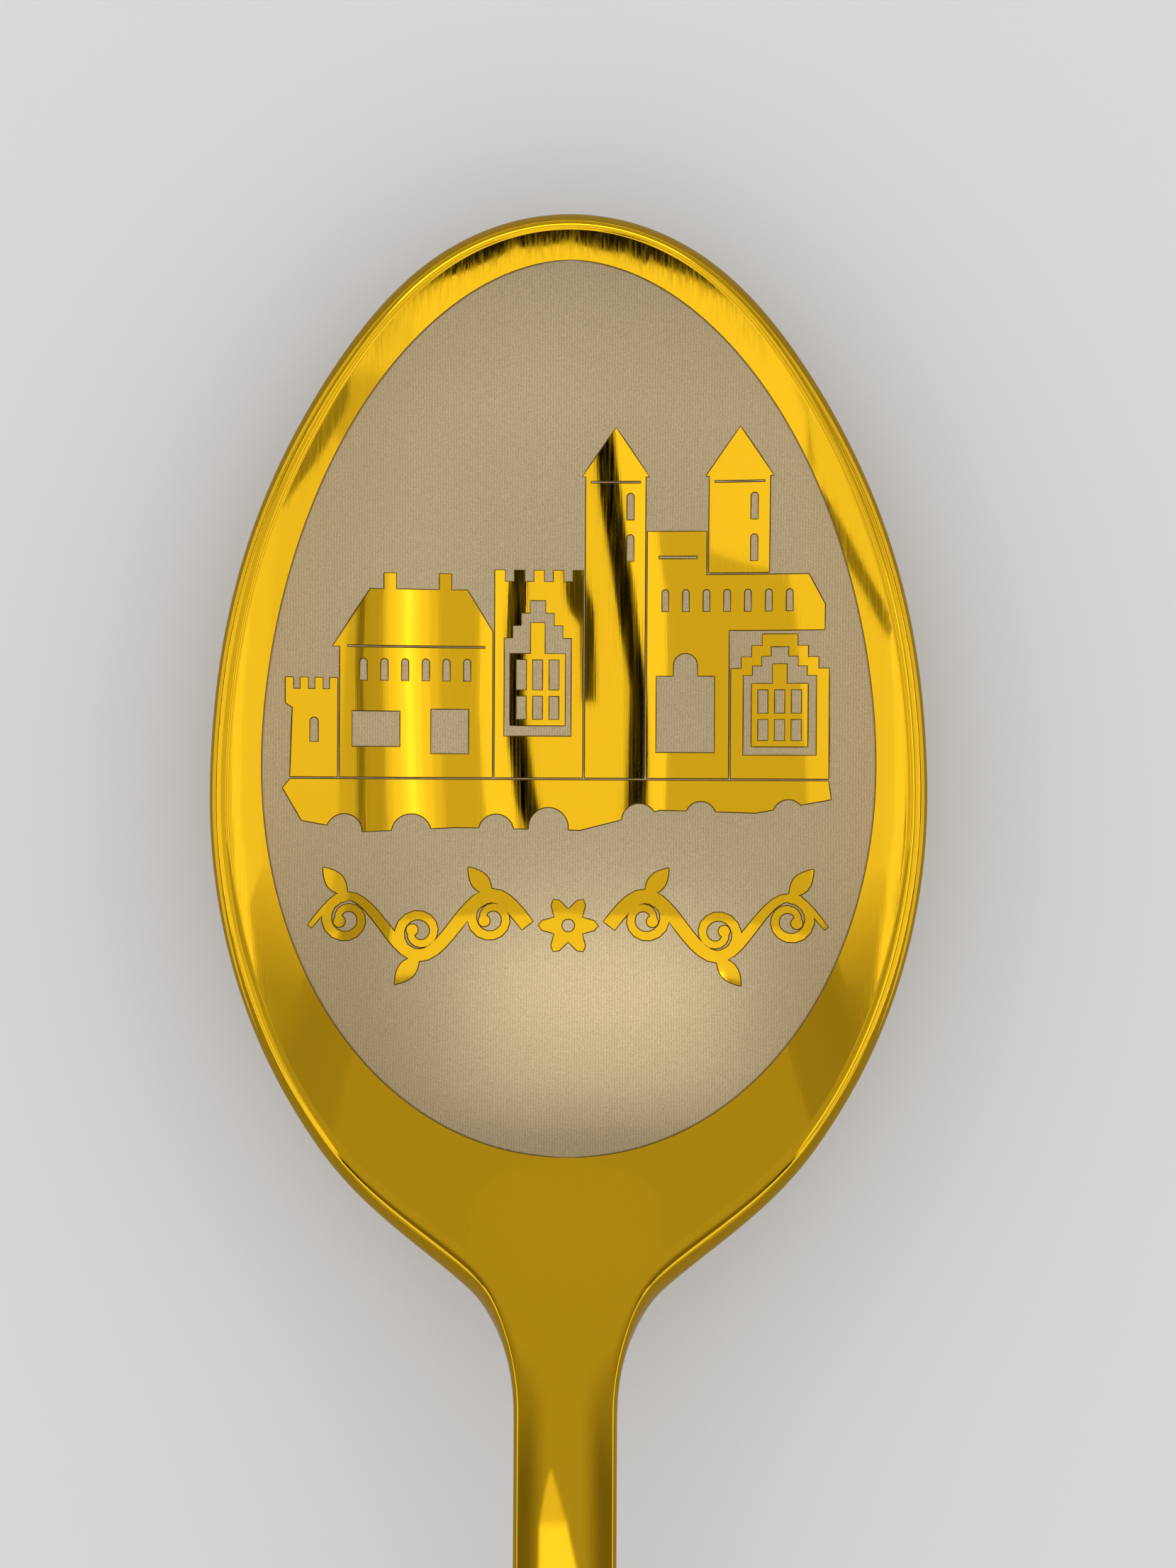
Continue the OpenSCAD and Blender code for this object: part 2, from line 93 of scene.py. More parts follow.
# Real sizes that the materials' patterns are drawn with, and how deep their bumps are
HAIRLINE_SIZE = (0.09 * MM, 9 * MM, 0.4 * MM)
HAIRLINE_DEPTH = 0.0005 * MM
WAVE_SIZE = 5 * MM
WAVE_DEPTH = 0.012 * MM
LASER_PITCH = 0.117 * MM
FURROW_DEPTH = 0.004 * MM
SPECKLE_SIZE = 0.07 * MM
WANDER_SIZE = 0.8 * MM
BURNT_FROM = 0.03 * MM
BURNT_TO = 0.12 * MM
STEEL_SHADES = (1.15, 0.80)  # the field's lightest and darkest specks, as shares of its colour
OXIDE_GRAIN = 0.06 * MM
FIBRE_SIZE = 1.2 * MM
FIBRE_DEPTH = 0.01 * MM

# The tent as the gold mirrors it. Each card has a name, a strength or one for each point of its
# path, the path as card() takes it, and its distance in metres, which puts it before or behind
# others.
CARDS = [
    (
        "left seam",
        0.0,
        [(-18, 10, 2.9), (-18.5, -5, 2.3), (-16.5, -11, 2.5), (-10.9, -28, 3), (-9, -38, 3)],
        0.8,
    ),
    (
        "right seam",
        0.0,
        [(8, 13, 2.2), (11.5, 6.7, 2.7), (14.4, -3, 2.6), (14.1, -16, 2.6), (13, -30, 2.6)],
        0.8,
    ),
    ("lens", 0.05, [(-5.3, -3.5, 1.9), (-5, -13, 2), (-1.5, -15.5, 2.6), (-1, -19, 2.6)], 0.79),
    ("middle panel", 0.95, [(-4, 14, 10), (-2, -5, 14), (2, -20, 13), (3, -36, 14)], 0.82),
    ("right panel", 1.1, [(17, 14, 4), (20, -3, 4), (20, -18, 4), (19, -32, 4)], 0.81),
    ("left panel", 1.1, [(-22.5, 12, 3), (-23, -5, 3.4), (-22, -15, 4.4), (-17, -34, 4.6)], 0.81),
    ("tower panel", 1.0, [(-51, -19, 12), (-53, -40, 12)], 0.83),
    (
        "far left panel",
        (0.42, 0.9, 0.95, 0.95),
        [(-79, 33, 9), (-73, 19, 9), (-72, -16, 11), (-66, -28, 9)],
        0.83,
    ),
    (
        "far right panel",
        (0.38, 0.85, 0.9, 0.9),
        [(77, 36, 10), (70, 19, 9), (69, -24, 10), (66, -32, 8)],
        0.83,
    ),
    ("right fold", 0.5, [(50, 14, 2.5), (53, -16, 2.5), (54, -30, 2.5)], 0.78),
    ("right crease", 0.2, [(54, 14, 1), (56.5, -16, 1), (58, -30, 1)], 0.77),
    ("shade", 0.42, [(50, 19, 6), (54, 40, 7)], 0.8),
    ("ceiling", 0.64, [(0, -36, 70), (0, 30, 70)], 0.86),
    (
        "back lamp",
        1.05,
        [
            (-68, -31, 4),
            (-50, -39, 4.5),
            (-28, -45, 4),
            (-10, -49, 4),
            (10, -49, 4),
            (28, -45, 4),
            (48, -38, 3),
        ],
        0.8,
    ),
    (
        "opening",
        0.01,
        [
            (-62, -42.5, 5),
            (-44, -51.7, 8),
            (-30, -61, 13.5),
            (-20, -65, 14.7),
            (0, -69, 16.6),
            (20, -66, 15),
            (30, -60.5, 13),
            (44, -51.8, 8),
            (62, -42.5, 5),
        ],
        0.79,
    ),
    ("left crease", 0.25, [(-85, -12, 1.2), (-70, -27, 1.5)], 0.8),
    ("right back crease", 0.3, [(82, -26, 1.5), (66, -36, 1.5)], 0.8),
    (
        "front",
        0.41,
        [(-92, 32, 20), (-60, 60, 20), (0, 66, 24), (60, 60, 20), (92, 46, 16)],
        0.85,
    ),
    ("left shade", (0.5, 0.3, 0.33), [(-80, 29, 7), (-70, 41, 7), (-56, 50, 6)], 0.84),
    ("right shade", (0.5, 0.33, 0.36), [(80, 31, 7), (66, 45, 7), (54, 52, 6)], 0.84),
    ("front lamp", 2.9, [(-40, 45, 5), (24, 47, 5)], 0.8),
]
TUBE_LAYERS = ((0.85, 8, 0.84), (1.05, 5.5, 0.82), (1.3, 3, 0.8), (1.7, 1, 0.79))
DOME_MIDDLE = (0, 0.044, 0)

CAMERA_PLACE = (0.00084, 0.0443, 0.300)
CAMERA_ROLL = math.radians(0.27)
CAMERA_LENS = 155.6
TENT_COLOUR = (0.94, 0.95, 0.97, 1)


def length(name, description, default):
    """A property that holds a length."""
    return bpy.props.FloatProperty(
        name=name, description=description, default=default, min=0, precision=5, unit="LENGTH"
    )


def colour(name, description, default):
    """A property that holds an sRGB colour, as red, green and blue from 0 to 1."""
    return bpy.props.FloatVectorProperty(
        name=name,
        description=description,
        default=default,
        size=3,
        min=0,
        max=1,
        subtype="COLOR_GAMMA",
    )


def srgb(code):
    """Red, green and blue from 0 to 1 out of a six-digit hex code."""
    return tuple(int(code[i : i + 2], 16) / 255 for i in (1, 3, 5))


def linear(rgb):
    """Linear light and an alpha of 1 from sRGB values: a straight foot, then a power of 2.4."""
    return [c / 12.92 if c <= 0.04045 else ((c + 0.055) / 1.055) ** 2.4 for c in rgb] + [1]


class SpoonSizes(bpy.types.PropertyGroup):
    """The spoon's sizes, the same as the solid part's"""

    bowl_width: length("Bowl width", "Width across the bowl", 30.9 * MM)
    bowl_front: length("Bowl front", "From the widest line to the tip", 25 * MM)
    bowl_back: length("Bowl back", "Half length of the back half's oval", 21 * MM)
    bowl_depth: length("Bowl depth", "Depth of the hollow below the rim", 6.6 * MM)
    bowl_wall: length("Bowl wall", "Thickness of the bowl's wall", 1.1 * MM)
    rim_bulge: length("Rim bulge", "How far the rim's edge bulges past its corners", 0.3 * MM)
    overall_length: length("Overall length", "Tip to handle's end", 138 * MM)
    shoulder_length: length("Shoulder length", "From the bowl's oval to the neck", 12.5 * MM)
    neck_width: length("Neck width", "Width of the neck", 4.4 * MM)
    neck_thickness: length("Neck thickness", "Thickness of the neck", 2.7 * MM)
    handle_width: length("Handle width", "Width of the handle's broad end", 10 * MM)
    handle_thickness: length("Handle thickness", "Thickness of the broad end", 1.9 * MM)
    end_length: length("End length", "Length of the rounding at the handle's end", 7 * MM)
    side_bulge: length("Side bulge", "How far the handle's edges bulge past their corners", 0.55 * MM)
    crown: length("Crown", "Convexity of the handle's upper face", 0.22 * MM)
    tip_height: length("Tip height", "Height of the rim at the tip", 7.3 * MM)
    shoulder_height: length("Shoulder height", "Height of the rim at the shoulders", 9.6 * MM)
    arch_height: length("Arch height", "Height of the handle's arch", 15.4 * MM)
    end_height: length("End height", "Height of the handle's end", 2.3 * MM)
    margin_side: length("Side margin", "Bright margin beside the matte field", 2.1 * MM)
    margin_tip: length("Tip margin", "Bright margin at the tip", 1.9 * MM)
    field_back: length("Field back", "From the widest line to the field's end", 15.8 * MM)
    coat: length("Coat", "Thickness the gold coat is drawn with in the solid part", 0.05 * MM)


class SpoonFinishes(bpy.types.PropertyGroup):
    """The colours of the spoon and of the paper under it"""

    gold: colour("Gold", "Colour of the nitride coat", srgb("#f9c31f"))
    steel: colour("Frosted steel", "Colour of the matte field", srgb("#ceb992"))
    burnt: colour("Burnt edge", "Colour of the heat line round the field", srgb("#6b5322"))
    paper: colour("Paper", "Colour of the paper underneath", srgb("#dddcdc"))


def quintic(x, x0, x1, a, b):
    """A curve from (value, slope, bend) a at x0 to b at x1: the fifth-power Hermite polynomial."""
    h = x1 - x0
    t = np.clip((x - x0) / h, 0, 1)
    t3, t4, t5 = t**3, t**4, t**5
    return (
        a[0] * (1 - 10 * t3 + 15 * t4 - 6 * t5)
        + b[0] * (10 * t3 - 15 * t4 + 6 * t5)
        + a[1] * h * (t - 6 * t3 + 8 * t4 - 3 * t5)
        + b[1] * h * (-4 * t3 + 7 * t4 - 3 * t5)
        + a[2] * h * h * (t * t - 3 * t3 + 3 * t4 - t5) / 2
        + b[2] * h * h * (t3 - 2 * t4 + t5) / 2
    )


def ease(x, x0, x1, a, b):
    """From a to b with no slope at either end."""
    return quintic(x, x0, x1, (a, 0, 0), (b, 0, 0))


def derivative(f, v, step=2e-6):
    """Slope of f at v from its values a step to either side."""
    return (f(v + step) - f(v - step)) / (2 * step)


def overhang(thickness, bulge, slope):
    """How far an edge reaches past its upper corner: half the thickness leaned over by the slope,
    plus the edge's rounded section seen from that lean."""
    c = 1 / math.hypot(1, slope)
    s = slope * c
    m = EDGE_POWER / (EDGE_POWER - 1)
    return thickness / 2 * s + ((bulge * c) ** m + abs(thickness / 2 * s) ** m) ** (1 / m)


def unit(a):
    """Vectors of length 1 along the last axis."""
    return a / np.linalg.norm(a, axis=-1, keepdims=True)


class Spoon:
    """The spoon's outline, upper surface and thickness as functions of x and v."""

    def __init__(self, sizes):
        """Works out the places along the centre line at which the outline changes its curve."""
        self.s = s = sizes
        steepest = s.bowl_depth * (1 + FLOOR_FLATNESS) * 4 / s.bowl_width
        lip = overhang(s.bowl_wall, s.rim_bulge, steepest)
        front_lip = overhang(s.bowl_wall, s.rim_bulge, s.bowl_depth * 2 / s.bowl_front)
        self.mouth_w = s.bowl_width / 2 - lip
        self.mouth_front = s.bowl_front - front_lip
        self.mouth_back = s.bowl_back - lip
        self.neck_half = s.neck_width / 2 - self.side_overhang(s.neck_width, s.neck_thickness)
        self.end_half = s.handle_width / 2 - self.side_overhang(s.handle_width, s.handle_thickness)
        self.oval_v = self.mouth_back * OVAL_SHARE
        self.neck_v = self.oval_v + s.shoulder_length
        self.waist_v = self.oval_v + s.shoulder_length * WAIST_SHARE
        self.end_v = s.overall_length - s.bowl_front - s.side_bulge
        self.cap_v = self.end_v - s.end_length
        self.arch_v = self.neck_v + (self.end_v - self.neck_v) * ARCH_SHARE
        self.channel_v = self.neck_v + CHANNEL_REACH
        d = 0.1 * MM
        w = [math.sqrt(self.oval_squared(np.float64(self.oval_v + k * d))) for k in (-1, 0, 1)]
        self.oval_end = (w[1], (w[2] - w[0]) / (2 * d), (w[0] - 2 * w[1] + w[2]) / d**2)
        drop = w[1] - self.neck_half
        self.waist = (
            self.neck_half + WAIST_WIDTH_SHARE * drop,
            -WAIST_STEEPNESS * drop / s.shoulder_length,
            WAIST_BEND,
        )
        self.field_from = -(s.bowl_front - s.margin_tip)
        self.field_v = self.field_from * FIELD_WIDEST_SHARE
        self.field_w = s.bowl_width / 2 - s.margin_side
        self.set_down()

    def side_overhang(self, width, thickness):
        """How far the handle's rounded long edge reaches past its upper corner."""
        return overhang(thickness * (1 - EDGE_THINNING), self.s.side_bulge, -4 * self.s.crown / width)

    def oval_squared(self, v):
        """Half width squared of the bowl's oval: two half ellipses eased into each other, the front
        one drawn in a little between its widest line and its tip."""
        front, back = self.mouth_front, self.mouth_back
        term = ease(v, -front / 4, back / 4, front**-2, back**-2)
        return self.mouth_w**2 * (1 - v * v * term) * self.slimming(v) ** 2

    def slimming(self, v):
        """Share of the front ellipse's width that is left at v."""
        q4 = np.clip(-v / self.mouth_front, 0, 1) ** 4
        return 1 - FRONT_SLIMMING * q4 * (1 - q4) ** 2

    def handle_half(self, v):
        """Half width of the handle before its end is rounded."""
        widening_v = self.neck_v + self.s.shoulder_length / 2
        return ease(v, widening_v, self.cap_v, self.neck_half, self.end_half)

    def outline_squared(self, v):
        """Half width squared of the inner rim edge: oval, shoulder, neck, then the handle, which ends
        in a half ellipse."""
        neck = (self.neck_half, 0, 0)
        end = 1 - np.clip((v - self.cap_v) / self.s.end_length, 0, None) ** 2
        return np.select(
            [v <= self.oval_v, v <= self.waist_v, v <= self.neck_v],
            [
                self.oval_squared(v),
                quintic(v, self.oval_v, self.waist_v, self.oval_end, self.waist) ** 2,
                quintic(v, self.waist_v, self.neck_v, self.waist, neck) ** 2,
            ],
            self.handle_half(v) ** 2 * end,
        )

    def half_width(self, v):
        """Half width of the upper surface: the root of outline_squared."""
        return np.sqrt(np.clip(self.outline_squared(v), 0, None))

    def outward(self, v):
        """Direction in plan, square to the outline on the +x side: (2w, -(w squared)') made unit."""
        g = np.stack([2 * self.half_width(v), -derivative(self.outline_squared, v), 0 * v], -1)
        return unit(g)

    def rim(self, v):
        """Height of the rim's line and the handle's ridge, seen from the side: three quintics."""
        s = self.s
        tip = (s.tip_height, *TIP_SIDE)
        shoulder = (s.shoulder_height, *SHOULDER_SIDE)
        arch = (s.arch_height, *ARCH_SIDE)
        end = (s.end_height, *END_SIDE)
        return np.select(
            [v <= self.oval_v, v <= self.arch_v],
            [
                quintic(v, -s.bowl_front, self.oval_v, tip, shoulder),
                quintic(v, self.oval_v, self.arch_v, shoulder, arch),
            ],
            quintic(v, self.arch_v, self.end_v, arch, end),
        )

    def hollow(self, v):
        """Share of the full depth on the centre line: a parabola in front, eased out to the neck."""
        back = quintic(v, 0, self.channel_v, (1, 0, -2 / self.mouth_front**2), (0, 0, 0))
        return np.where(v <= 0, 1 - (v / self.mouth_front) ** 2, back)

    def narrowing(self, v):
        """The hollow's share divided by the half width squared, with its limit at the tip."""
        front = 1 / (self.mouth_w * self.slimming(v)) ** 2
        back = self.hollow(v) / np.maximum(self.outline_squared(v), 1e-12)
        return np.where(v < -self.mouth_front / 4, front, back)

    def crowning(self, v):
        """Fall of the handle's upper face for each metre squared from its centre line."""
        wide = np.maximum(self.half_width(v), self.handle_half(v))
        return self.s.crown * ease(v, self.oval_v, self.neck_v, 0, 1) / wide**2

    def upper(self, x, v):
        """Height of the upper surface and its two slopes. With s the hollow's share at a place, the
        surface is the rim's height, less the depth times s + k s (1 - s), less the crown's fall."""
        s = self.hollow(v) - self.narrowing(v) * x * x
        depth = self.s.bowl_depth * (s + FLOOR_FLATNESS * s * (1 - s))
        steep = self.s.bowl_depth * (1 + FLOOR_FLATNESS * (1 - 2 * s))
        z = self.rim(v) - depth - self.crowning(v) * x * x
        across = 2 * x * (steep * self.narrowing(v) - self.crowning(v))
        along = (
            derivative(self.rim, v)
            - steep * (derivative(self.hollow, v) - derivative(self.narrowing, v) * x * x)
            - derivative(self.crowning, v) * x * x
        )
        return z, across, along

    def section(self, v, x, grow, edge_steps):
        """Rings of points, one for each v: across the top at the places x, round the right edge,
        back underneath, and up round the left edge. The edges are half superellipses. The normals
        that come with them are the top's own, turned to the row's y, and zero elsewhere."""
        s = self.s
        v = v[:, None]
        w = self.half_width(v)
        wide = np.maximum(w, self.handle_half(v))
        thick_v = self.neck_v + NECK_REACH
        thick = np.where(
            v <= thick_v,
            ease(v, self.mouth_back * THICKENING_SHARE, thick_v, s.bowl_wall, s.neck_thickness),
            ease(v, thick_v, self.cap_v, s.neck_thickness, s.handle_thickness),
        )
        loss = thick * ease(v, self.oval_v, self.neck_v, 0, EDGE_THINNING)
        bulge = ease(v, self.oval_v * BULGING_SHARE, self.neck_v, s.rim_bulge, s.side_bulge)
        z, across, along = self.upper(x, v)
        normal = unit(np.stack([-across, -along, np.ones_like(z)], -1))
        base = np.stack([x, v + 0 * x, z], -1)
        top = base + normal * grow
        low = base - normal * (thick - loss * (x / wide) ** 2 + grow)[..., None]
        half = ((thick - loss * (w / wide) ** 2) / 2)[..., None]
        a = np.linspace(np.pi / 2, -np.pi / 2, edge_steps + 1)[1:-1, None]
        out = np.abs(np.cos(a)) ** (2 / EDGE_POWER)
        up = np.sign(a) * np.abs(np.sin(a)) ** (2 / EDGE_POWER)
        edges = []
        for corner, side in ((-1, 1), (0, -1)):
            n = normal[:, [corner]]
            flat = self.outward(v) * [side, 1, 1]
            lean = unit(flat - n * (flat * n).sum(-1, keepdims=True))
            centre = base[:, [corner]] - n * half
            edges.append(centre + lean * (bulge[..., None] + grow) * out + n * (half + grow) * up)
        rings = np.concatenate([top, edges[0], low[:, ::-1], edges[1][:, ::-1]], 1)
        normals = np.zeros_like(rings)
        normals[:, : x.shape[1]] = normal * [1, -1, 1]
        return rings, normals

    def set_down(self):
        """The tilt and drop that put the bowl's lowest point and the handle's on the table."""
        self.tilt = self.drop = self.middle = 0
        v = np.linspace(-self.mouth_front, self.end_v, 1200)
        across = np.linspace(-1, 1, 21)
        rings, _ = self.section(v, self.half_width(v)[:, None] * across, self.s.coat, 12)
        points = rings.reshape(-1, 3)
        bowl = min(points[points[:, 1] < self.neck_v], key=lambda p: p[2])
        end = min(points[points[:, 1] > self.arch_v], key=lambda p: p[2])
        self.tilt = -(end[2] - bowl[2]) / (end[1] - bowl[1])
        self.drop = -bowl[2] - self.tilt * bowl[1]
        self.middle = (points[:, 1].max() + points[:, 1].min()) / 2

    def placed(self, points):
        """From the spoon's own x, v, z to the row's x, y, z."""
        x, v, z = np.moveaxis(points, -1, 0)
        return np.stack([x, self.middle - v, z + self.drop + self.tilt * v], -1)

    def over(self, plan, grow):
        """Points of the row's frame straight over plan points, grow off the bare surface measured
        square to it, and the surface's normals there."""
        x, v = plan[:, 0], self.middle - plan[:, 1]
        z, across, along = self.upper(x, v)
        normal = unit(np.stack([-across, along + self.tilt, np.ones_like(z)], -1))
        height = z + grow / normal[:, 2] + self.drop + self.tilt * v
        return np.stack([x, plan[:, 1], height], -1), normal

    def field_half(self, v):
        """Half width of the matte field: one superellipse in front of its widest line and another
        behind it."""
        front = np.clip((self.field_v - v) / (self.field_v - self.field_from), 0, 1)
        back = np.clip((v - self.field_v) / (self.s.field_back - self.field_v), 0, 1)
        t = np.where(v < self.field_v, front, back)
        p = np.where(v < self.field_v, FIELD_POWER_FRONT, FIELD_POWER_BACK)
        return self.field_w * (1 - t**p) ** (1 / p)

    def stations(self, steps):
        """Places along the spoon, closer together where the outline turns, and the numbers of the
        two between which the field lies."""
        marks = [-self.mouth_front, self.field_from, self.s.field_back]
        marks += [self.neck_v, self.cap_v, self.end_v]
        angles = [(0, 60), (0, 180), (60, 120), (60, 120), (90, 180)]
        out = [np.array([marks[0]])]
        for n, a, b, (a0, a1) in zip(steps, marks, marks[1:], angles):
            c = np.cos(np.radians(np.linspace(a0, a1, n + 1)))
            out.append(a + (b - a) * (c[0] - c[1:]) / (c[0] - c[-1]))
        return np.concatenate(out), steps[0], steps[0] + steps[1]

    def laterals(self, v, inner, margin):
        """Places across the top at each v, with the field's edge always one of them."""
        f, w = self.field_half(v)[:, None], self.half_width(v)[:, None]
        right = np.concatenate(
            [f * np.arange(inner) / inner, f + (w - f) * np.arange(margin + 1) / margin], 1
        )
        return np.concatenate([-right[:, :0:-1], right], 1)


def ring_quads(rows, count):
    """Corner numbers of the quads between neighbouring closed rings, facing outwards."""
    i = np.arange((rows - 1) * count).reshape(rows - 1, count)
    j = np.roll(i, -1, axis=1)
    return np.stack([i, i + count, j + count, j], -1)


def welded(points, faces, normals):
    """Points that lie in one place made one, and faces without the corners that this doubles."""
    places = np.round(points / 1e-8)
    _, first, number = np.unique(places, axis=0, return_index=True, return_inverse=True)
    faces = number.ravel()[faces]
    whole = (faces != np.roll(faces, 1, axis=1)).all(1)
    kept = faces[whole].tolist()
    kept += [f for f in map(list, map(dict.fromkeys, faces[~whole].tolist())) if len(f) > 2]
    return points[first], kept, normals[first]


def point_attribute(obj, name, values):
    """Gives each point of a mesh a number of this name."""
    attribute = obj.data.attributes.new(name, "FLOAT", "POINT")
    attribute.data.foreach_set("value", values.astype(np.float32))


def new_mesh(name, points, faces, slots, normals=None):
    """A smooth mesh object at the origin. Normals are one for each point; a zero leaves Blender's
    own."""
    mesh = bpy.data.meshes.new(name)
    mesh.from_pydata(points, [], faces)
    mesh.polygons.foreach_set("use_smooth", np.ones(len(mesh.polygons), bool))
    if normals is not None:
        mesh.normals_split_custom_set_from_vertices(normals.tolist())
    obj = bpy.data.objects.new(name, mesh)
    bpy.context.scene.collection.objects.link(obj)
    for material in slots:
        mesh.materials.append(material)
    return obj


def node(tree, kind, inputs=None, **settings):
    """Adds a node, sets its own settings, and gives its inputs values or links."""
    made = tree.nodes.new(kind)
    for key, value in settings.items():
        setattr(made, key, value)
    for key, value in (inputs or {}).items():
        if isinstance(value, bpy.types.NodeSocket):
            tree.links.new(value, made.inputs[key])
        else:
            made.inputs[key].default_value = value
    return made


def new_material(name):
    """A material without nodes, and its node tree."""
    material = bpy.data.materials.new(name)
    material.use_nodes = True
    material.node_tree.nodes.clear()
    return material, material.node_tree


def polished_gold_nitride(finishes):
    """Gold-coloured titanium nitride, sputtered on steel that was buffed along the spoon's length.

    It is a metal with a mirror's gloss. The buffing leaves hairlines 0.05 to 0.1 mm apart and many
    millimetres long, which draw reflections out along the spoon, and the stamping leaves slow waves
    a few millimetres across, which bend them.
    """
    material, tree = new_material("titanium nitride on buffed steel")
    place = node(tree, "ShaderNodeTexCoord").outputs["Object"]
    hairs = node(
        tree,
        "ShaderNodeMapping",
        {"Vector": place, "Scale": tuple(1 / size for size in HAIRLINE_SIZE)},
    ).outputs[0]
    lines = node(
        tree, "ShaderNodeTexNoise", {"Vector": hairs, "Scale": 1.0, "Detail": 3.0}
    ).outputs["Fac"]
    waves = node(
        tree, "ShaderNodeTexNoise", {"Vector": place, "Scale": 1 / WAVE_SIZE, "Detail": 1.0}
    ).outputs["Fac"]
    rough = node(
        tree,
        "ShaderNodeMapRange",
        {"Value": lines, "From Min": 0.3, "From Max": 0.7, "To Min": 0.03, "To Max": 0.1},
    ).outputs[0]
    waved = node(tree, "ShaderNodeBump", {"Height": waves, "Distance": WAVE_DEPTH}).outputs[0]
    brushed = node(
        tree, "ShaderNodeBump", {"Height": lines, "Distance": HAIRLINE_DEPTH, "Normal": waved}
    ).outputs[0]
    shader = node(
        tree,
        "ShaderNodeBsdfPrincipled",
        {"Base Color": linear(finishes.gold), "Metallic": 1.0, "Roughness": rough, "Normal": brushed},
    )
    node(tree, "ShaderNodeOutputMaterial", {"Surface": shader.outputs[0]})
    return material


def laser_frosted_steel(finishes):
    """Stainless steel that a pulsed laser has stripped and frosted.

    The laser went up and down in lines 0.117 mm apart. Each line is a shallow furrow of melted
    steel, tinted a little straw by its oxide, so the field looks matte, greige and finely ruled. At
    the field's rim the coat's burnt edge leaves a thin brown line.
    """
    material, tree = new_material("laser-frosted stainless steel")
    place = node(tree, "ShaderNodeTexCoord").outputs["Object"]
    across = node(tree, "ShaderNodeSeparateXYZ", {"Vector": place}).outputs["X"]
    wander = node(
        tree, "ShaderNodeTexNoise", {"Vector": place, "Scale": 1 / WANDER_SIZE, "Detail": 2.0}
    ).outputs["Fac"]
    phase = node(
        tree, "ShaderNodeMath", {0: across, 1: 2 * math.pi / LASER_PITCH}, operation="MULTIPLY"
    ).outputs[0]
    wobble = node(
        tree, "ShaderNodeMath", {0: wander, 1: 3.0, 2: phase}, operation="MULTIPLY_ADD"
    ).outputs[0]
    ruled = node(tree, "ShaderNodeMath", {0: wobble}, operation="SINE").outputs[0]
    speckle = node(
        tree, "ShaderNodeTexNoise", {"Vector": place, "Scale": 1 / SPECKLE_SIZE, "Detail": 2.0}
    ).outputs["Fac"]
    shade = node(
        tree, "ShaderNodeMath", {0: ruled, 1: 0.12, 2: speckle}, operation="MULTIPLY_ADD"
    ).outputs[0]
    contrast = node(
        tree, "ShaderNodeMapRange", {"Value": shade, "From Min": 0.25, "From Max": 0.75}
    ).outputs[0]
    light, dark = ([c * k for c in linear(finishes.steel)[:3]] + [1] for k in STEEL_SHADES)
    steel = node(
        tree, "ShaderNodeMix", {0: contrast, 6: dark, 7: light}, data_type="RGBA"
    ).outputs[2]
    edge = node(tree, "ShaderNodeAttribute", attribute_name="rim_distance").outputs["Fac"]
    burnt = node(
        tree,
        "ShaderNodeMapRange",
        {"Value": edge, "From Min": BURNT_FROM, "From Max": BURNT_TO, "To Min": 1.0, "To Max": 0.0},
    ).outputs[0]
    tinted = node(
        tree, "ShaderNodeMix", {0: burnt, 6: steel, 7: linear(finishes.burnt)}, data_type="RGBA"
    ).outputs[2]
    furrows = node(tree, "ShaderNodeBump", {"Height": shade, "Distance": FURROW_DEPTH}).outputs[0]
    shader = node(
        tree,
        "ShaderNodeBsdfPrincipled",
        {"Base Color": tinted, "Metallic": 1.0, "Roughness": 0.43, "Normal": furrows},
    )
    node(tree, "ShaderNodeOutputMaterial", {"Surface": shader.outputs[0]})
    return material


def heat_tinted_edge(finishes):
    """Titanium nitride at the edge of a laser cut.

    The heat has oxidised it to a dull brown that the eye sees as a thin outline, about 0.05 mm wide,
    and has left it grainy.
    """
    material, tree = new_material("heat-tinted nitride")
    place = node(tree, "ShaderNodeTexCoord").outputs["Object"]
    grain = node(
        tree, "ShaderNodeTexNoise", {"Vector": place, "Scale": 1 / OXIDE_GRAIN}
    ).outputs["Fac"]
    rough = node(
        tree, "ShaderNodeMapRange", {"Value": grain, "To Min": 0.4, "To Max": 0.65}
    ).outputs[0]
    shader = node(
        tree,
        "ShaderNodeBsdfPrincipled",
        {"Base Color": linear(finishes.burnt), "Metallic": 1.0, "Roughness": rough},
    )
    node(tree, "ShaderNodeOutputMaterial", {"Surface": shader.outputs[0]})
    return material


def matte_paper(finishes):
    """White drawing paper, uncoated.

    Its fibres, felted a millimetre or so across, give it a fine tooth and no gloss at all.
    """
    material, tree = new_material("matte paper")
    place = node(tree, "ShaderNodeTexCoord").outputs["Object"]
    fibre = node(
        tree, "ShaderNodeTexNoise", {"Vector": place, "Scale": 1 / FIBRE_SIZE, "Detail": 4.0}
    ).outputs["Fac"]
    tooth = node(tree, "ShaderNodeBump", {"Height": fibre, "Distance": FIBRE_DEPTH}).outputs[0]
    shader = node(
        tree,
        "ShaderNodeBsdfPrincipled",
        {"Base Color": linear(finishes.paper), "Roughness": 0.9, "Normal": tooth},
    )
    node(tree, "ShaderNodeOutputMaterial", {"Surface": shader.outputs[0]})
    return material


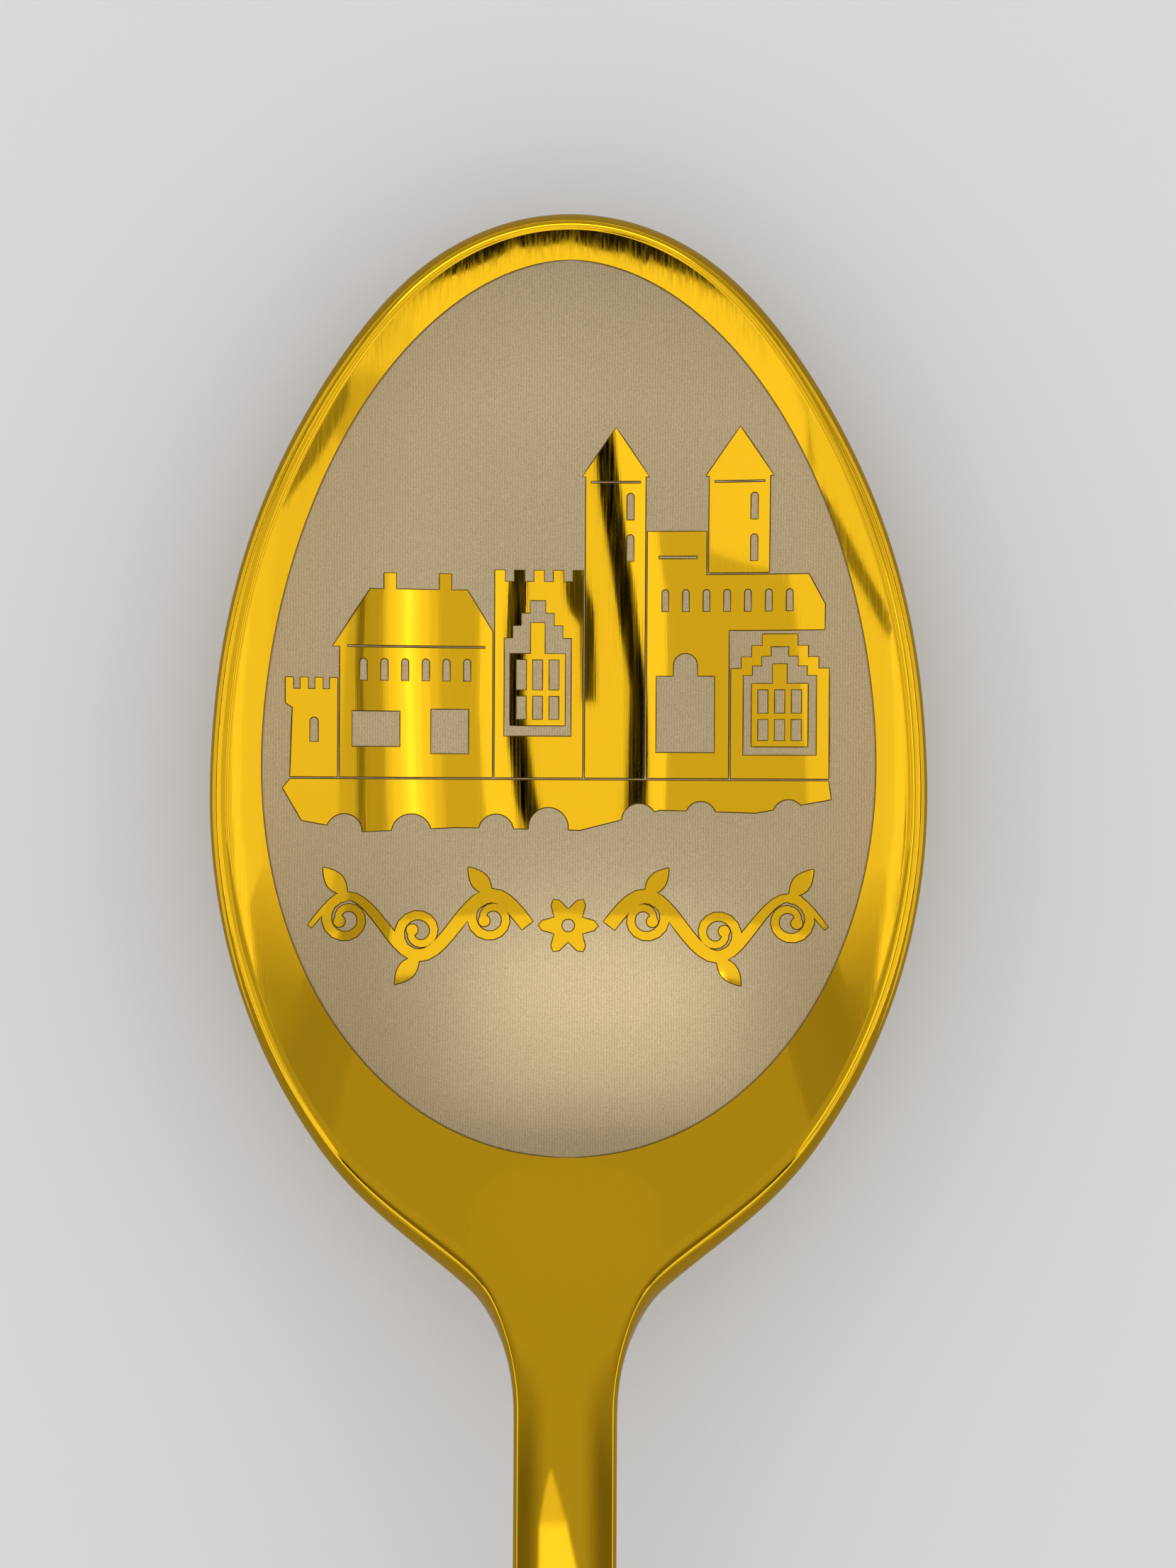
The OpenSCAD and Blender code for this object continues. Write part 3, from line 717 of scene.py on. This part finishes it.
class SPOON_OT_blank(bpy.types.Operator):
    """The steel blank, which shows only in the matte field"""

    bl_idname = "spoon.blank"
    bl_label = "Steel blank"

    def execute(self, context):
        """One closed skin on the solid part's steel; each point keeps its distance from the field's
        rim, so that the burnt line can follow it."""
        spoon = Spoon(context.scene.spoon_sizes)
        v, _, _ = spoon.stations((6, 150, 20, 24, 12))
        rings, normals = spoon.section(v, spoon.laterals(v, 30, 12), 0.0, 8)
        quads = ring_quads(*rings.shape[:2]).reshape(-1, 4)
        place = spoon.placed(rings).reshape(-1, 3)
        place, faces, normals = welded(place, quads, normals.reshape(-1, 3))
        steel = laser_frosted_steel(context.scene.spoon_finishes)
        obj = new_mesh("stamped_blank", place, faces, [steel], normals)
        along = spoon.middle - place[:, 1]
        inside = np.clip(along, spoon.field_from + 1e-5, spoon.s.field_back - 1e-5)
        slope = derivative(spoon.field_half, inside)
        gap = (spoon.field_half(along) - np.abs(place[:, 0])) / np.hypot(1, slope)
        point_attribute(obj, "rim_distance", np.clip(gap, 0, 1))
        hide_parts("steel_blank")
        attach(obj, "root")
        return {"FINISHED"}


class SPOON_OT_coat(bpy.types.Operator):
    """The gold coat over bowl, rim, back and handle, with the field cut out of it"""

    bl_idname = "spoon.coat"
    bl_label = "Gold coat"

    def execute(self, context):
        """Two skins over the steel, joined by walls all round the field's edge."""
        spoon = Spoon(context.scene.spoon_sizes)
        inner, margin = 16, 10
        v, first, last = spoon.stations((14, 96, 36, 34, 20))
        x = spoon.laterals(v, inner, margin)
        skins = [spoon.section(v, x, grow, 16) for grow in (COAT_UNDERSIDE, COAT_TOP)]
        rows, count = skins[0][0].shape[:2]
        quads = ring_quads(rows, count)
        left, right = margin, x.shape[1] - 1 - margin
        keep = np.ones(quads.shape[:2], bool)
        keep[first:last, left:right] = False
        shell = quads[keep]
        n = rows * count
        i = np.arange(first, last) * count
        walls = [
            np.stack([i + k, i + k + count, i + k + count + n, i + k + n], -1) for k in (left, right)
        ]
        faces = np.concatenate([shell[:, ::-1], shell + n, walls[0][:, ::-1], walls[1]])
        points = np.concatenate([spoon.placed(rings) for rings, _ in skins]).reshape(-1, 3)
        normals = np.concatenate([0 * skins[0][1], skins[1][1]]).reshape(-1, 3)
        points, faces, normals = welded(points, faces, normals)
        gold = polished_gold_nitride(context.scene.spoon_finishes)
        obj = new_mesh("gold_coating", points, faces, [gold], normals)
        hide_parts("gold_coat")
        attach(obj, "root")
        return {"FINISHED"}


def triangle_sides(tris):
    """The three sides of each triangle as pairs of corner numbers, in the triangles' own turn."""
    return np.concatenate([tris[:, [0, 1]], tris[:, [1, 2]], tris[:, [2, 0]]])


def plan_outline(cad):
    """Corner points and edges of a solid's upper face seen from above: the sides that only one of
    its upward triangles has."""
    mesh = cad.data
    mesh.calc_loop_triangles()
    corners = np.empty(len(mesh.vertices) * 3)
    mesh.vertices.foreach_get("co", corners)
    corners = corners.reshape(-1, 3)
    tris = np.empty(len(mesh.loop_triangles) * 3, int)
    mesh.loop_triangles.foreach_get("vertices", tris)
    tris = tris.reshape(-1, 3)
    a, b, c = (corners[tris[:, k]] for k in range(3))
    cross = np.cross(b - a, c - a)
    tris = tris[cross[:, 2] > 0.3 * np.linalg.norm(cross, axis=1)]
    same = 2e-7
    places = np.round(corners[tris.ravel(), :2] / same)
    keys, number = np.unique(places, axis=0, return_inverse=True)
    sides = np.sort(triangle_sides(number.reshape(-1, 3)), axis=1)
    sides, times = np.unique(sides, axis=0, return_counts=True)
    return keys * same, sides[times == 1]


def filled(plan, sides, spacing):
    """Triangles that fill an outline, its holes left open, over a grid of points of this spacing. A
    triangle is inside when a line from its middle towards +x crosses the outline an odd number of
    times. All run counter-clockwise."""
    steps = [np.arange(a, b, spacing) for a, b in zip(plan.min(0), plan.max(0))]
    grid = np.stack(np.meshgrid(*steps), -1).reshape(-1, 2)
    points = [Vector(p) for p in np.concatenate([plan, grid]) / MM]
    flat, _, tris, *_ = delaunay_2d_cdt(points, sides.tolist(), [], 0, 1e-5)
    flat, tris = np.array(flat) * MM, np.array(tris)
    x, y = flat[tris].mean(1).T[:, :, None]
    (ax, ay), (bx, by) = plan[sides[:, 0]].T, plan[sides[:, 1]].T
    meets = ax + (y - ay) * (bx - ax) / np.where(by == ay, 1, by - ay)
    crosses = ((ay > y) != (by > y)) & (x < meets)
    tris = tris[crosses.sum(1) % 2 == 1]
    a, b, c = (flat[tris[:, k]] for k in range(3))
    area = (b - a)[:, 0] * (c - a)[:, 1] - (b - a)[:, 1] * (c - a)[:, 0]
    return flat, np.where(area[:, None] < 0, tris[:, ::-1], tris)[np.abs(area) > 1e-13]


class SPOON_OT_islands(bpy.types.Operator):
    """The castle and the vines: areas of the coat that the laser left standing"""

    bl_idname = "spoon.islands"
    bl_label = "Gold islands"

    def execute(self, context):
        """Each island has its solid's outline. A grid of points inside it is laid on the bowl's
        smooth surface, with that surface's own normals, so that it mirrors as the bowl would. Its
        foot reaches past its outline, as a tinted slope down to the steel."""
        spoon = Spoon(context.scene.spoon_sizes)
        gold = bpy.data.materials["titanium nitride on buffed steel"]
        tinted = heat_tinted_edge(context.scene.spoon_finishes)
        for name in ISLANDS:
            flat, tris = filled(*plan_outline(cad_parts[name]), ISLAND_GRID)
            sides = triangle_sides(tris)
            code, back = (sides * [len(flat), 1]).sum(1), (sides * [1, len(flat)]).sum(1)
            rim = sides[~np.isin(code, back)]
            out = self.outward(flat, rim)
            foot = np.zeros_like(flat)
            np.add.at(foot, rim.ravel(), np.repeat(out, 2, axis=0))
            foot /= np.maximum(np.linalg.norm(foot, axis=1, keepdims=True), 1e-9)
            top, normal = spoon.over(flat, COAT_TOP)
            low, _ = spoon.over(flat + foot * ISLAND_FOOT, ISLAND_UNDERSIDE)
            n = len(flat)
            walls = np.stack([rim[:, 1], rim[:, 0], rim[:, 0] + n, rim[:, 1] + n], -1)
            faces = tris.tolist() + (tris[:, ::-1] + n).tolist() + walls.tolist()
            obj = new_mesh(name + "_gold", np.concatenate([top, low]), faces, [gold, tinted])
            slots = np.repeat([0, 1], [2 * len(tris), len(walls)])
            obj.data.polygons.foreach_set("material_index", slots)
            slope = unit(np.column_stack([out, np.full(len(out), 1.5)]))
            under = -normal[tris[:, ::-1].ravel()]
            loops = np.concatenate([normal[tris.ravel()], under, np.repeat(slope, 4, axis=0)])
            obj.data.normals_split_custom_set(loops.tolist())
            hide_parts(name)
            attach(obj, "root")
        return {"FINISHED"}

    def outward(self, flat, rim):
        """Directions square to an outline's sides, away from what it encloses."""
        d = flat[rim[:, 1]] - flat[rim[:, 0]]
        return unit(np.stack([d[:, 1], -d[:, 0]], -1))


def card_light():
    """A material that shines as strongly as its mesh's shine attribute says, or not at all."""
    material, tree = new_material("light card")
    shine = node(tree, "ShaderNodeAttribute", attribute_name="shine").outputs["Fac"]
    shader = node(tree, "ShaderNodeEmission", {"Color": (1, 1, 1, 1), "Strength": shine})
    node(tree, "ShaderNodeOutputMaterial", {"Surface": shader.outputs[0]})
    return material


def mirrored_only(name, grid, shine):
    """A stage object from a grid of points and their light, seen by mirror reflections only."""
    rows, count = grid.shape[:2]
    i = (np.arange(rows - 1)[:, None] * count + np.arange(count - 1)).ravel()
    quads = np.stack([i, i + 1, i + count + 1, i + count], -1)
    light = bpy.data.materials.get("light card") or card_light()
    obj = new_mesh(name, grid.reshape(-1, 3), quads.tolist(), [light])
    point_attribute(obj, "shine", np.broadcast_to(shine, (rows, count)).ravel())
    obj.visible_camera = obj.visible_diffuse = obj.visible_shadow = False


def card(name, strength, path, radius):
    """A card that only mirrors show: a band of a dome round the bowl. The path gives its middle as
    degrees from straight up, across and towards the tip, and its half width in degrees. The band
    is square to the path. Its strength is one number, or one for each point of the path."""
    path = np.array(path, float)
    t = np.linspace(0, len(path) - 1, 8 * len(path))
    a, b, half = (np.interp(t, range(len(path)), path[:, k]) for k in range(3))
    along = unit(np.stack([np.gradient(a), np.gradient(b)], -1))
    k = half[:, None] * np.linspace(-1, 1, 7)
    u, w = a[:, None] - k * along[:, [1]], b[:, None] + k * along[:, [0]]
    angle, turn = np.radians(np.hypot(u, w)), np.arctan2(w, u)
    dome = [np.sin(angle) * np.cos(turn), np.sin(angle) * np.sin(turn), np.cos(angle)]
    shine = np.interp(t, range(len(path)), np.broadcast_to(strength, len(path)))
    mirrored_only(name, np.stack(dome, -1) * radius + DOME_MIDDLE, shine[:, None])


def arc(angle, start, end, half, count):
    """A card's path at one angle from straight up, turning from start to end, all in degrees."""
    turn = np.radians(np.linspace(start, end, count))
    return np.stack([angle * np.cos(turn), angle * np.sin(turn), half + 0 * turn], -1)


def soft_step(x, x0, x1):
    """From 0 at x0 to 1 at x1, with no slope at either end."""
    t = np.clip((x - x0) / (x1 - x0), 0, 1)
    return t * t * (3 - 2 * t)


def neck_card():
    """A level card 2 mm over the neck, which only mirrors show: dull, duller towards the handle's
    sides, with a bright pointed window in it that makes the highlight on the handle. Past the window
    it grows as light as the ceiling. All is in millimetres until the last line."""
    y = np.linspace(-15, 43, 230)[:, None]
    half = np.interp(y, [-15, 18, 23, 27, 33, 43], [26, 26, 20, 17, 17, 16])
    across = np.linspace(-1, 1, 151)
    x = 9 * across + (half - 9) * across**5
    start = np.clip((16.3 - y) / 2.4, 0, 1)
    left = -1.6 - 1.2 * start**0.7
    right = -1.5 + 1.7 * start + 0.5 * np.clip(13.9 - y, 0, None)
    soft = 0.25
    window = soft_step(x, left - soft, left + soft) * soft_step(-x, -right - soft, -right + soft)
    window = window * (y < 16.3)
    sides = soft_step(abs(x + 0.1), 1.6, 4.5) * soft_step(-y, -24, -15)
    shine = 0.43 * (1 - 0.62 * sides) + window * (0.4 + 0.4 * soft_step(-y, -14.2, -13.6))
    shine += (0.64 - shine) * soft_step(-y, -9, 14)
    mirrored_only("neck card", np.stack([x, y + 0 * x, 17.5 + 0 * x], -1) * MM, shine)


class SPOON_OT_stage(bpy.types.Operator):
    """Paper, light tent, cards and the camera"""

    bl_idname = "spoon.stage"
    bl_label = "Stage"

    def execute(self, context):
        """A sheet of white paper in a white light tent. The tent's seams, lamps and openings are
        cards that only the gold mirrors."""
        scene = context.scene
        corners = [(-2, -2, 0), (2, -2, 0), (2, 2, 0), (-2, 2, 0)]
        paper = new_mesh("paper", corners, [(0, 1, 2, 3)], [matte_paper(scene.spoon_finishes)])
        self.tent()
        neck_card()
        world = bpy.data.worlds.new("light tent")
        scene.world = world
        world.use_nodes = True
        world.node_tree.nodes["Background"].inputs["Color"].default_value = TENT_COLOUR
        data = bpy.data.cameras.new("camera")
        camera = bpy.data.objects.new("camera", data)
        scene.collection.objects.link(camera)
        data.lens = CAMERA_LENS
        data.sensor_width = 36
        data.clip_start = 0.01
        camera.location = CAMERA_PLACE
        camera.rotation_euler = (0, 0, CAMERA_ROLL)
        scene.camera = camera
        scene.view_settings.view_transform = "Standard"
        return {"FINISHED"}

    def tent(self):
        """The cards of the table, a lamp tube in layers that brighten towards its middle, a glow low
        down on either side over a dark horizon, and paper in the spoon's own shade."""
        for name, strength, path, radius in CARDS:
            card(name, strength, path, radius)
        for strength, half, radius in TUBE_LAYERS:
            card("tube", strength, [(40, 16, half), (43.8, -16, half), (45, -32, half)], radius)
        for name, start in (("right glow", -25), ("left glow", 140)):
            card(name, 1.15, arc(86.3, start, start + 65, 1.2, 9), 0.8)
        card("horizon", 0.1, arc(89.8, -90, 270, 2, 33), 0.78)
        for half, start, end in ((0.04, 0.024, 0.11), (0.4, -0.12, 0.024)):
            sheet = np.meshgrid([-half, half], [start, end], [0.2 * MM], indexing="ij")
            mirrored_only("shaded paper", np.stack(sheet, -1).reshape(2, 2, 3), 0.28)


class SPOON_PT_panel(bpy.types.Panel):
    """Buttons for the spoon's pieces"""

    bl_idname = "SPOON_PT_panel"
    bl_label = "Souvenir spoon"
    bl_space_type = "VIEW_3D"
    bl_region_type = "UI"
    bl_category = "Spoon"

    def draw(self, context):
        """Lists the sizes, the colours and the operators."""
        for group in (context.scene.spoon_sizes, context.scene.spoon_finishes):
            for key in group.__annotations__:
                self.layout.prop(group, key)
        for operator in OPERATORS:
            self.layout.operator(operator.bl_idname)


OPERATORS = (SPOON_OT_blank, SPOON_OT_coat, SPOON_OT_islands, SPOON_OT_stage)
CLASSES = (SpoonSizes, SpoonFinishes, *OPERATORS, SPOON_PT_panel)


def register():
    """Makes the classes and the scene's properties known."""
    for c in CLASSES:
        bpy.utils.register_class(c)
    bpy.types.Scene.spoon_sizes = bpy.props.PointerProperty(type=SpoonSizes)
    bpy.types.Scene.spoon_finishes = bpy.props.PointerProperty(type=SpoonFinishes)


def unregister():
    """Takes them away again."""
    del bpy.types.Scene.spoon_finishes
    del bpy.types.Scene.spoon_sizes
    for c in reversed(CLASSES):
        bpy.utils.unregister_class(c)


def main():
    """Builds every piece and the stage."""
    register()
    bpy.ops.spoon.blank()
    bpy.ops.spoon.coat()
    bpy.ops.spoon.islands()
    bpy.ops.spoon.stage()


if __name__ == "__main__":
    main()
